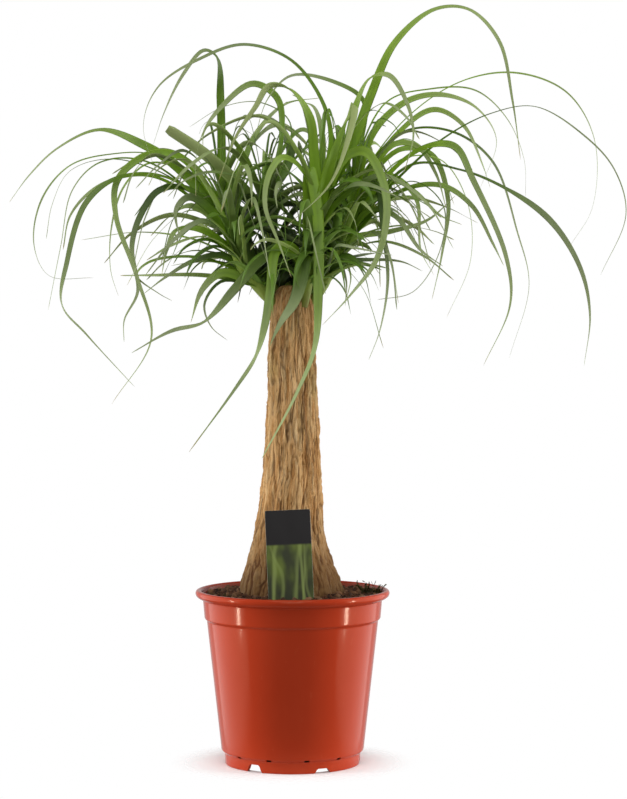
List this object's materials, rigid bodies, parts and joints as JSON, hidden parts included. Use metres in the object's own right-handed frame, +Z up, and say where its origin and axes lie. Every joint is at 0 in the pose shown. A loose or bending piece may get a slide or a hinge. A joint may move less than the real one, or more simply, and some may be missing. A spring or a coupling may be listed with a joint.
{
  "type": "potted ponytail palm",
  "caption": "Ponytail palm in a terracotta-coloured nursery pot: a ridged trunk with a swollen foot in potting soil, a crown of arching strap leaves, and a plain plant label.",
  "frame": {"origin": "middle of the flat foot under the pot, on the surface that the pot stands on", "axes": "+Z up along the trunk, the front with the label towards -Y, +X to the right seen from the front"},
  "size_m": [0.5992, 0.3765, 0.7367],
  "materials": {
    "pot": "satin",
    "soil": "matt, crumbly",
    "bark": "matt, fissured",
    "label": "satin print",
    "leaf": "satin"
  },
  "bodies": {
    "root": {"pot": "pot", "soil": "soil", "trunk": "bark", "plant_label": "label", "shoot_main": "leaf", "shoot_left": "leaf", "shoot_right": "leaf", "shoot_back_left": "leaf", "shoot_back": "leaf", "shoot_back_right": "leaf"}
  },
  "joints": []
}
